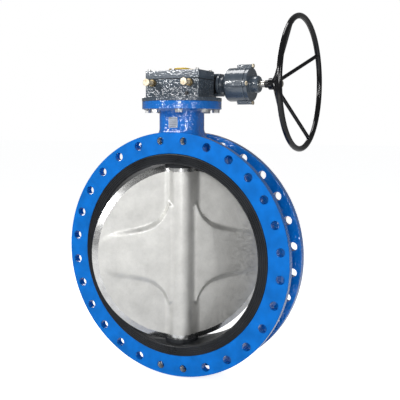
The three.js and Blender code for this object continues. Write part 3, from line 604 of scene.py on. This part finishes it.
FLANGE_SPOTS = spots_on_circle(BOLT_CIRCLE_R, BOLT_COUNT, 90 + 180 / BOLT_COUNT)
TAPPED_SPOTS = [spot for spot in FLANGE_SPOTS if beside_stem(spot)]
TOP_BOLT_SPOTS = spots_on_circle(TOP_BOLT_CIRCLE_R, TOP_BOLT_COUNT, 180 / TOP_BOLT_COUNT)


def flange_holes():
    """The 24 through holes and the 4 pairs of tapped holes beside the stem."""
    cutters = []
    for x, z in FLANGE_SPOTS:
        outline = tapped_hole() if beside_stem((x, z)) else through_hole()
        for side in (1, -1):
            hole = lathe(flipped(outline, side), 32)
            cutters.append(moved(hole, at(x, 0, z) @ ALONG_Y))
    return cutters


def top_flange_holes():
    hole = bar(TOP_BOLT_HOLE_R, TOP_FLANGE_UNDER_Z - 5, TOP_FLANGE_Z + 5, 32)
    return [moved(hole, at(x, y, 0)) for x, y in TOP_BOLT_SPOTS]


def body_shell():
    """Two flanges and the barrel between them."""
    inner = FACE - FLANGE_THICK
    half = [(BORE_R, FACE - 8), (LIP_R, FACE - 8), (LIP_R, FACE), (FLANGE_R, FACE), (FLANGE_R, inner)]
    half += [(BARREL_R + 12, inner), (BARREL_R, inner - 14)]
    return moved(lathe(softened(half + flipped(reversed(half), -1), 3.5), ROUND), ALONG_Y)


def body_neck():
    """The neck from inside the barrel to the top flange, wider at both ends."""
    levels = [(455, 14), (546, 14), (552, 9), (558, 5), (565, 2), (574, 0)]
    levels += [(652, 0), (659, 1.5), (664, 5), (667, 9)]
    return loft([
        rounded_ring(NECK_HALF_X + grow, NECK_HALF_Y + grow * 0.5, NECK_CORNER_R + grow * 0.5, z, steps=16)
        for z, grow in levels
    ])


def body_boss():
    """The lower boss, which fills the groove between the flanges."""
    half_y = FACE - FLANGE_THICK + 1
    levels = [(-470, 30), (-492, 12), (-505, 4), (-515, 0), (BOSS_END_Z + 2, 0), (BOSS_END_Z, -2)]
    return loft([rounded_ring(BOSS_HALF_X + grow, half_y, BOSS_CORNER_R, z) for z, grow in levels])


def body_pad():
    """The raised pad behind the nameplate."""
    return moved(rounded_block(31, 31.5, 7, 70, -PAD_FRONT_Y, 1.5), at(0, 0, PLATE_Z) @ FACING)


def paint_flange_faces(casting):
    """The two pipe faces are painted smooth, and the threads of the tapped holes stay bare."""
    casting.data.materials.append(blue_face)
    casting.data.materials.append(machined_metal)
    thread_start = FACE - TAP_DEPTH + 9.5
    for face in casting.data.polygons:
        x, y, z = face.center * 1000
        in_thread = any(math.hypot(x - across, z - up) < TAP_R + 2 for across, up in TAPPED_SPOTS)
        if abs(y) > FACE - 3 and math.hypot(x, z) < FLANGE_R:
            face.material_index = 1
        elif in_thread and abs(y) > thread_start:
            face.material_index = 2


def make_body():
    casting = piece("body_casting", body_shell(), blue_paint, CASING, ["valve_body"])
    top_flange = bar(TOP_FLANGE_R, TOP_FLANGE_UNDER_Z, TOP_FLANGE_Z, 128, edge=2.5)
    fused(casting, body_neck(), body_boss(), top_flange, body_pad())
    drilled(casting, flange_holes() + top_flange_holes())
    paint_flange_faces(casting)


def make_nameplate():
    """The plate with plain raised bars and its four rivets, built lying flat and then stood up."""
    spot = at(0, 0, PLATE_Z) @ FACING
    back = -PAD_FRONT_Y + 0.2
    front = back + 0.9
    plate = rounded_block(23, 24.5, 3, back, back + 1, 0.3)
    bars = [rounded_block(19, 0.6, 0.5, front, front + 0.5, 0.2, (0, y)) for y in (-18, -10, -2, 6, 18)]
    piece("plate", moved(plate, spot), plate_metal, CASING, ["nameplate"])
    piece("plate_bars", moved(together(*bars), spot), dark_paint, CASING)
    rivet = lathe([(0, front + 1.6), (1.6, front + 1.1), (2.4, front), (0, front)], 16)
    rivets = [moved(rivet, spot @ at(x, y, 0)) for x in (-20, 20) for y in (-21, 21)]
    piece("plate_rivets", together(*rivets), machined_metal, CASING)


def make_lower_cover():
    """The oblong cover under the lower boss and its four bolts."""
    low = LOWER_COVER_TOP_Z - LOWER_COVER_THICK
    cover = rounded_block(BOSS_HALF_X - 1, 60, BOSS_CORNER_R, low, LOWER_COVER_TOP_Z, 2)
    piece("lower_cover", cover, blue_paint, CASING, ["bottom_cover"])
    bolt = collared_bolt(12, 2, 19, 8)
    for i, (x, y) in enumerate(((52, 44), (-52, 44), (-52, -44), (52, -44))):
        name = "lower_cover_bolt_%d" % (i + 1)
        piece(name, moved(bolt, at(x, y, low) @ UPSIDE_DOWN), bolt_silver, CASING)


# ------------------------------------------------------------ rubber seat
def seat_ring():
    """The bore ring with a lip on each face, ridged by four grooves."""
    face = FACE + 1.5
    half = [(SEAT_R, 0), (SEAT_R, face - 9), (SEAT_R + 1.6, face - 3.5)]
    half += [(SEAT_R + 5, face - 0.8), (SEAT_R + 9, face)]
    for groove_r in (431, 440, 449, 457):
        half += [(groove_r - 2.6, face), (groove_r - 1.2, face - 2)]
        half += [(groove_r + 1.2, face - 2), (groove_r + 2.6, face)]
    outer = LIP_R - 0.5
    half += [(outer - 2, face), (outer, face - 2), (outer, face - 9), (BORE_R - 1, face - 9)]
    return moved(lathe(half + flipped(reversed(half[1:]), -1), ROUND), ALONG_Y)


def seat_flat():
    """The outline of the flat that a disc hub seals on, up into the ring."""
    low = SEAT_FLAT_Z
    high = 428
    return [(0, low), (75, low), (77.3, low + 0.8), (78, low + 3), (80, high), (0, high)]


def make_seat():
    """The moulded liner: the ring and a flat round each stem."""
    seat = piece("seat", seat_ring(), liner_rubber, CASING, ["rubber_seat"], sharp=50)
    for side in (1, -1):
        fused(seat, lathe(flipped(seat_flat(), side)), sharp=50)


# ------------------------------------------------------------ disc
def web_half_height(distance):
    """How far the raised web reaches up and down from the middle, at this distance from the stem axis."""
    away = max(distance - HUB_R, 0)
    far = WEB_FLARE * math.exp(-away / WEB_LONG_FADE)
    near = WEB_FLARE * math.exp(-away / WEB_SHORT_FADE)
    nose = 20 * (max(distance - WEB_NOSE_X, 0) / 80) ** 2
    return WEB_HALF_HEIGHT + far + near - nose


def step_up(value):
    """0 below -1, 1 above 1, and smooth between."""
    t = min(max((value + 1) / 2, 0), 1)
    return t * t * (3 - 2 * t)


def web_half_thickness(u, v):
    """Half the thickness of the plate and its webs, and of the bevel round them."""
    radius = math.hypot(u, v)
    if radius > BEVEL_R:
        return PLATE_HALF_THICK - (radius - BEVEL_R) * BEVEL_SLOPE
    crest = WEB_CREST - WEB_FALL * min(max(abs(u) - HUB_R, 0) / WEB_LENGTH, 1)
    on_web = step_up((web_half_height(abs(u)) - abs(v)) / 14)
    inside_rim = step_up((BEVEL_R - 3 - radius) / 8)
    return PLATE_HALF_THICK + (crest - PLATE_HALF_THICK) * on_web * inside_rim


def hub_height(across, base):
    """The round hub and the fillet that runs from it out to a surface at the base height."""
    centre = math.sqrt((HUB_R + HUB_FILLET_R) ** 2 - (base + HUB_FILLET_R) ** 2)
    touch = centre * HUB_R / (HUB_R + HUB_FILLET_R)
    if across < touch:
        return math.sqrt(HUB_R**2 - across**2)
    if across < centre:
        return base + HUB_FILLET_R - math.sqrt(HUB_FILLET_R**2 - (centre - across) ** 2)
    return base


def disc_half_thickness(u, v):
    """Half the disc's thickness at u from the stem axis and v above the middle."""
    return hub_height(abs(u), web_half_thickness(u, v))


def disc_rings():
    """The radii of the disc mesh's rings, evenly spaced up to the bevel, with some more on it."""
    inner = 64
    rings = [(BEVEL_R - 1) * (i + 1) / inner for i in range(inner)]
    return rings + [BEVEL_R + out for out in (0, 1, 8, 16, 24)] + [DISC_R - 1, DISC_R]


def disc_face(side, rings, directions):
    """One face of the disc: its middle point, its rings of points, and the faces between them."""
    around = len(directions)
    points = [(0, side * disc_half_thickness(0, 0), 0)]
    for radius in rings:
        for angle in directions:
            u = radius * math.cos(angle)
            v = radius * math.sin(angle)
            points.append((u, side * disc_half_thickness(u, v), v))
    faces = [(0, 1 + i, 1 + (i + 1) % around) for i in range(around)]
    for ring in range(len(rings) - 1):
        low = 1 + ring * around
        for i in range(around):
            j = (i + 1) % around
            faces.append((low + i, low + j, low + around + j, low + around + i))
    return points, faces


def disc_shape():
    """Both faces of the disc, with their points closest together beside the hub, joined at the rim."""
    around = 480
    rings = disc_rings()
    even = [2 * math.pi * i / around for i in range(around)]
    directions = [angle + 0.35 * math.sin(2 * angle) for angle in even]
    points, faces = together(disc_face(-1, rings, directions), disc_face(1, rings, directions))
    edge = 1 + (len(rings) - 1) * around
    other = edge + len(points) // 2
    for i in range(around):
        j = (i + 1) % around
        faces.append((edge + i, edge + j, other + j, other + i))
    return points, faces


def make_disc():
    """The cast disc. Its rim and the ends of its hub are machined."""
    disc = piece("disc", moved(disc_shape(), DISC_TURN), disc_metal, DISC, ["valve_disc"])
    beyond = 430
    pocket = [(0, HUB_END_Z), (HUB_POCKET_R, HUB_END_Z), (HUB_POCKET_R, beyond), (0, beyond)]
    drilled(disc, [lathe(flipped(pocket, side)) for side in (1, -1)], sharp=25)
    disc.data.materials.append(machined_metal)
    turn_back = DISC_TURN.inverted()
    for face in disc.data.polygons:
        local = turn_back @ (face.center * 1000)
        on_rim = math.hypot(local.x, local.z) > BEVEL_R
        on_hub_end = abs(local.z) > MACHINED_HUB_Z and abs(local.x) < HUB_POCKET_R
        if on_rim or on_hub_end:
            face.material_index = 1


# ------------------------------------------------------------ gearbox
def make_gearbox_case():
    """The box on its round base, with the worm tunnel, the saddle and roof round it, and the end flange."""
    block = rounded_block(BOX_HALF_X, BOX_HALF_Y, BOX_CORNER_R, BOX_BOTTOM_Z, BOX_TOP_Z, 2.5, BOX_MIDDLE)
    base = bar(BASE_FLANGE_R, TOP_FLANGE_Z + 0.3, BOX_BOTTOM_Z + 3, 128, edge=2.5)
    saddle = rounded_block(109, 48, 6, BOX_BOTTOM_Z, 790, 5, (0, 96))
    roof = rounded_block(109, 27, 5, 770, 820, 5, (0, 90))
    tunnel = moved(bar(TUNNEL_R, -TUNNEL_END, TUNNEL_END, 64, edge=3), ON_WORM)
    end_flange = moved(rounded_block(51, 46.5, 8, 101, TUNNEL_END, 2), ON_WORM)
    case = piece("gearbox_case", block, slate_paint, CASING, ["gearbox_housing"])
    fused(case, base, saddle, roof, tunnel, end_flange)


def make_gearbox_lid():
    """The lid on its gasket, with six screws."""
    lid = rounded_block(BOX_HALF_X, BOX_HALF_Y, BOX_CORNER_R, LID_BOTTOM_Z, LID_TOP_Z, 3, BOX_MIDDLE)
    piece("gearbox_lid", lid, slate_smooth, CASING, ["gearbox_cover"])
    low = BOX_TOP_Z - 0.2
    high = LID_BOTTOM_Z + 0.2
    gasket = rounded_block(BOX_HALF_X - 0.6, BOX_HALF_Y - 0.6, BOX_CORNER_R, low, high, 0.2, BOX_MIDDLE)
    piece("lid_gasket", gasket, seal_rubber, CASING, ["cover_gasket"])
    x = BOX_HALF_X - LID_SCREW_INSET
    front = BOX_FRONT_Y + LID_SCREW_INSET
    back = BOX_BACK_Y - LID_SCREW_INSET
    screw = collared_bolt(10, 1.6, 13, 5.5)
    for i, spot in enumerate(((-x, front), (x, front), (-x, back), (x, back), (0, back), (0, front))):
        name = "lid_screw_%d" % (i + 1)
        piece(name, moved(screw, at(*spot, LID_TOP_Z)), bolt_silver, CASING)


def make_oil_plug():
    plug = collared_bolt(9, 2, 12, 6)
    piece("oil_plug", moved(plug, at(77, BOX_FRONT_Y, 734) @ FACING), dark_paint, CASING)


def make_worm_caps():
    """A closed cap with four screws at the worm's left end, and an open one at its right end."""
    end = -LEFT_CAP_END
    left = lathe([(0, end), (38, end), (40, end + 2), (40, -CAP_START), (0, -CAP_START)], 64)
    piece("worm_left_cap", moved(left, ON_WORM), slate_paint, CASING, ["worm_end_cap"])
    for i, (x, y) in enumerate(spots_on_circle(31, 4, 45)):
        head = moved(hex_head(10, 4.5), ON_WORM @ at(x, y, end) @ UPSIDE_DOWN)
        piece("worm_left_cap_screw_%d" % (i + 1), head, bolt_silver, CASING)
    right = [(16, CAP_START - 12), (30.5, CAP_START - 12), (30.5, CAP_START), (38, CAP_START)]
    right += [(38, 129), (34, 132), (16, 132)]
    # The open cap is near-black: painted shade for the dark recess between the reducer's arms.
    piece("worm_right_cap", moved(lathe(right, 64), ON_WORM), dark_paint, CASING, ["worm_bearing_cap"])


def thread(radius, low, high, pitch):
    """A screw thread's outside from z low to high, as one ribbed bar."""
    root = radius * 0.9
    profile = [(0, low), (root, low)]
    turns = int((high - low) / pitch)
    for i in range(turns):
        start = low + i * pitch
        profile += [(root, start + pitch * 0.1), (radius, start + pitch * 0.5)]
    profile += [(root, high), (0, high)]
    return lathe(profile, 32)


def make_stop(x, name):
    """A stop bolt, which is screwed into the box's front at x, and its locknut."""
    facing = at(x, 0, WORM_Z + 3) @ FACING
    tip = 32.5
    under_head = 153.5
    head = moved(hex_head(M20_ACROSS, 13), at(0, 0, under_head) @ about_z(8))
    bolt = together(thread(10, tip, under_head + 0.1, 2.5), head)
    piece("stop_bolt_" + name + "_look", moved(bolt, facing), bolt_zinc, CASING, ["stop_bolt_" + name])
    nut = moved(hex_head(M20_ACROSS, 16), at(0, 0, 0.3 - BOX_FRONT_Y) @ about_z(20))
    piece("stop_locknut_" + name + "_look", moved(nut, facing), nut_brass, CASING, ["stop_locknut_" + name])


def make_top_bolts():
    """The screws under the top flange that hold the gearbox, each turned a little further than the last."""
    washer = bar(18.5, TOP_FLANGE_UNDER_Z - 3.3, TOP_FLANGE_UNDER_Z - 0.2, 40, edge=0.6)
    head = moved(hex_head(M20_ACROSS, 13), at(0, 0, TOP_FLANGE_UNDER_Z - 3) @ UPSIDE_DOWN)
    for i, (x, y) in enumerate(TOP_BOLT_SPOTS):
        bolt = together(washer, moved(head, about_z(23 * i)))
        name = "mounting_bolt_%d" % (i + 1)
        piece(name + "_look", moved(bolt, at(x, y, 0)), bolt_silver, CASING, [name])


def make_indicator():
    """The brown plate on the lid, and the yellow knob with its arrow, with heights counted from the lid."""
    on_lid = at(0, 0, LID_TOP_Z)
    plate = lathe([(19, 0.3), (70, 0.3), (69.5, 3), (67, 6), (19, 8.4)], 96)
    piece("indicator_plate", moved(plate, on_lid), indicator_brown, CASING, ["indicator_base"])
    stalk = [(0, -14.5), (18, -14.5), (18, 9)]
    dome = [(42, 9), (41, 11.5), (38, 14), (26, 17.5), (0, 19)]
    arrow = [[(30, -12, z), (62, 0, z), (30, 12, z), (-58, 9, z), (-58, -9, z)] for z in (9.1, 12.6)]
    knob = moved(together(lathe(stalk + dome, 64), loft(arrow)), on_lid @ DISC_TURN)
    piece("indicator_knob", knob, indicator_yellow, DISC, ["indicator_pointer"])


# ------------------------------------------------------------ planetary reducer
def four_lugs(low, high, edge):
    """Four lugs round the reducer, a quarter turn apart."""
    lug = rounded_block(10, 13, 4, low, high, edge, (LUG_R, 0))
    return [moved(lug, about_z(90 * i)) for i in range(4)]


def make_reducer_case():
    """The casing with its two arms to the gearbox and its lugs."""
    outline = [(0, REDUCER_START), (50, REDUCER_START), (50, 152), (38, 154), (37, 166)]
    outline += [(REDUCER_R - 4, 189), (REDUCER_R, 195), (REDUCER_R, REDUCER_END), (0, REDUCER_END)]
    arms = [rounded_block(5.25, 30, 3, TUNNEL_END + 0.4, 152, 1, (side * 45.75, 0)) for side in (1, -1)]
    case = together(lathe(softened(outline, 2.5), 96), *arms, *four_lugs(232, REDUCER_END, 3))
    piece("reducer_case", moved(case, ON_WORM), slate_smooth, CASING, ["reducer_housing"])


def make_reducer_cover():
    """The end cover with its nose round the input shaft, its lugs and its four bolts."""
    outline = [(16, COVER_START), (REDUCER_R, COVER_START), (REDUCER_R, COVER_END), (39, COVER_END)]
    outline += [(39, 332), (34, 340), (16, 340)]
    cover = together(lathe(softened(outline, 2.5), 96), *four_lugs(COVER_START, COVER_END, 2.5))
    replaced = ["reducer_end_cover", "input_seal"]
    piece("reducer_cover", moved(cover, ON_WORM), slate_smooth, CASING, replaced)
    for i, (x, y) in enumerate(spots_on_circle(LUG_R + 3, 4, 0)):
        head = moved(hex_head(17, 7), at(x, y, COVER_END + 0.2) @ about_z(15 * i))
        name = "reducer_bolt_%d" % (i + 1)
        piece(name + "_look", moved(head, ON_WORM), bolt_zinc, CASING, [name])


# ------------------------------------------------------------ handwheel and its shaft
def spoke(angle):
    """A round spoke from the hub out and along to the rim, thicker where it meets them."""
    start = Vector((*turned(20, angle), 414))
    end = Vector((*turned(RIM_R - 2, angle), RIM_X - 1))
    steps = (0, 0.03, 0.06, 0.1, 0.5, 0.94, 0.965, 0.985, 1)
    radii = (14, 11.5, 9.4, 8.5, 8.5, 8.5, 9.4, 11.5, 13)
    return tube_along([start.lerp(end, t) for t in steps], radii)


def make_handwheel():
    around = 160
    section = [turned(RIM_TUBE_R, 360 * i / 24) for i in range(24)]
    rim = lathe([(RIM_R + x, RIM_X + y) for x, y in section], around)
    hub = bar(26, WHEEL_HUB_START, WHEEL_HUB_END, 64, edge=2.5, bore=13.3)
    spokes = [spoke(30 + 90 * i) for i in range(4)]
    piece("wheel", moved(together(rim, hub, *spokes), ON_WORM), black_gloss, WHEEL, ["handwheel"])


def make_drive_shaft():
    """The stepped input shaft, with the dark sleeve behind the handwheel's hub."""
    outline = [(0, 262), (18, 262), (18, 268), (15, 268), (15, 364), (13, 366)]
    outline += [(13, 430), (9.5, 431), (9.5, 447), (0, 448)]
    shaft = lathe(softened(outline, 0.8), 64)
    piece("drive_shaft", moved(shaft, ON_WORM), shaft_steel, WHEEL)
    sleeve = bar(17, SLEEVE_START, WHEEL_HUB_START - 0.5, 48, bore=13.3)
    piece("shaft_sleeve", moved(sleeve, ON_WORM), dark_paint, WHEEL)


def make_wheel_nut():
    """The nut that holds the handwheel, and its washer."""
    nut = moved(hex_head(28, 12), at(0, 0, WHEEL_HUB_END + 6.3))
    piece("wheel_nut_look", moved(nut, ON_WORM), bolt_zinc, WHEEL, ["handwheel_nut"])
    washer = bar(20, WHEEL_HUB_END + 3, WHEEL_HUB_END + 6, 48, edge=0.5, bore=9.8)
    piece("wheel_washer_look", moved(washer, ON_WORM), bolt_silver, WHEEL, ["handwheel_washer"])


# ------------------------------------------------------------ inner pieces keep their CAD shape
INNER_MATERIALS = {
    "upper_stem": stem_steel, "lower_stem": stem_steel, "upper_disc_key": stem_steel,
    "lower_disc_key": stem_steel, "gear_key": stem_steel, "handwheel_key": stem_steel,
    "neck_lower_bush": bronze, "neck_upper_bush": bronze, "lower_bush": bronze, "thrust_washer": bronze,
    "worm_wheel_bush": bronze, "worm_wheel": bronze,
    "neck_o_ring": seal_rubber, "lower_o_ring": seal_rubber, "stem_packing": seal_rubber,
    "bottom_gasket": seal_rubber,
    "worm_shaft": gear_steel, "planet_carrier": gear_steel, "ring_gear": gear_steel,
    "planet_gear_1": gear_steel, "planet_gear_2": gear_steel, "planet_gear_3": gear_steel,
    "worm_bearing_left": bearing_steel, "worm_bearing_right": bearing_steel, "input_bearing": bearing_steel,
    "input_shaft": shaft_steel,
}


def finish_inner_pieces():
    for name, material in INNER_MATERIALS.items():
        node = frame["nodes"][name]
        node.data.materials.clear()
        node.data.materials.append(material)


def even_normals():
    """Lets large flat faces set the shading at their borders, so that only the softened edges look round."""
    for thing in bpy.context.scene.objects:
        if thing.type == "MESH" and thing.name not in frame["nodes"]:
            normals = thing.modifiers.new("normals", "WEIGHTED_NORMAL")
            normals.keep_sharp = True


# ------------------------------------------------------------ the studio, in metres
def floor_paint():
    """Pale grey in the light, and bright to the camera, so that the floor fades into the white backdrop."""
    recipe = Recipe("floor_pale", (0.8, 0.8, 0.8), 0.6)
    patches = recipe.noise(3, 2)
    recipe.colour_from(recipe.colours(patches, [(0.3, (0.86, 0.86, 0.86)), (0.7, (0.9, 0.9, 0.9))]))
    path = recipe.tree.nodes.new("ShaderNodeLightPath")
    glow = recipe.ramp(path.outputs["Is Camera Ray"], 0, 1, 0, 0.78)
    recipe.shader.inputs["Emission Color"].default_value = (1, 1, 1, 1)
    recipe.link(glow, recipe.shader.inputs["Emission Strength"])
    return recipe.material


def make_floor():
    reach = 40
    z = FLOOR_Z * 0.001
    mesh = bpy.data.meshes.new("floor")
    corners = [(-reach, -reach, z), (reach, -reach, z), (reach, reach, z), (-reach, reach, z)]
    mesh.from_pydata(corners, [], [(0, 1, 2, 3)])
    mesh.materials.append(floor_paint())
    floor = in_scene("floor", mesh)


def area_light(name, place, target, size, power):
    """A white light turned to the target, its size as (width, height) in metres and its power in watts."""
    light = bpy.data.lights.new(name, "AREA")
    light.shape = "RECTANGLE"
    light.size, light.size_y = size
    light.energy = power
    thing = in_scene(name, light)
    thing.location = place
    thing.rotation_euler = (Vector(target) - Vector(place)).to_track_quat("-Z", "Y").to_euler()


def make_world():
    """White to the camera, dim in reflections, and a soft grey to everything else."""
    world = bpy.data.worlds.new("studio")
    world.use_nodes = True
    tree = world.node_tree
    path = tree.nodes.new("ShaderNodeLightPath")
    shown = tree.nodes["Background"]
    shown.inputs["Color"].default_value = (0.96, 0.98, 1, 1)
    shown.inputs["Strength"].default_value = 0.26
    for ray, strength in (("Is Glossy Ray", 0.16), ("Is Camera Ray", 1.0)):
        backdrop = tree.nodes.new("ShaderNodeBackground")
        backdrop.inputs["Color"].default_value = (1, 1, 1, 1)
        backdrop.inputs["Strength"].default_value = strength
        chosen = tree.nodes.new("ShaderNodeMixShader")
        tree.links.new(path.outputs[ray], chosen.inputs[0])
        tree.links.new(shown.outputs[0], chosen.inputs[1])
        tree.links.new(backdrop.outputs[0], chosen.inputs[2])
        shown = chosen
    tree.links.new(shown.outputs[0], tree.nodes["World Output"].inputs["Surface"])
    bpy.context.scene.world = world
    bpy.context.scene.view_settings.view_transform = "Standard"


def make_lights():
    area_light("key", (-1.9, -3.7, 1.9), (0, 0, 0.2), (0.8, 0.8), 85)
    area_light("side", (3.4, -1.9, 1.4), (0, 0, 0.1), (0.35, 1.0), 22)
    area_light("front", (1.5, -3.9, 1.1), (0, 0, 0.1), (0.7, 0.9), 54)
    area_light("top", (-0.6, 0.3, 3.4), (0, 0, 0.2), (1.2, 1.2), 30)
    area_light("back", (-2.2, 3.0, 1.8), (0, 0, 0.1), (1.6, 1.6), 40)


def make_camera():
    """The eye of the photograph: 26 degrees round to the handwheel side and 5 degrees above level."""
    data = bpy.data.cameras.new("camera")
    data.lens = 59.9
    data.sensor_width = 36
    data.shift_x = 0.0025
    data.shift_y = -0.026
    camera = in_scene("camera", data)
    camera.location = (1.430, -2.7325, 0.587)
    camera.rotation_euler = (math.radians(90 - 5.41), math.radians(-0.19), math.radians(26.16))
    bpy.context.scene.camera = camera


make_body()
make_nameplate()
make_lower_cover()
make_seat()
make_disc()
make_gearbox_case()
make_gearbox_lid()
make_oil_plug()
make_worm_caps()
make_stop(STOP_X, "closed")
make_stop(-STOP_X, "open")
make_top_bolts()
make_indicator()
make_reducer_case()
make_reducer_cover()
make_handwheel()
make_drive_shaft()
make_wheel_nut()
finish_inner_pieces()
even_normals()
make_floor()
make_world()
make_lights()
make_camera()
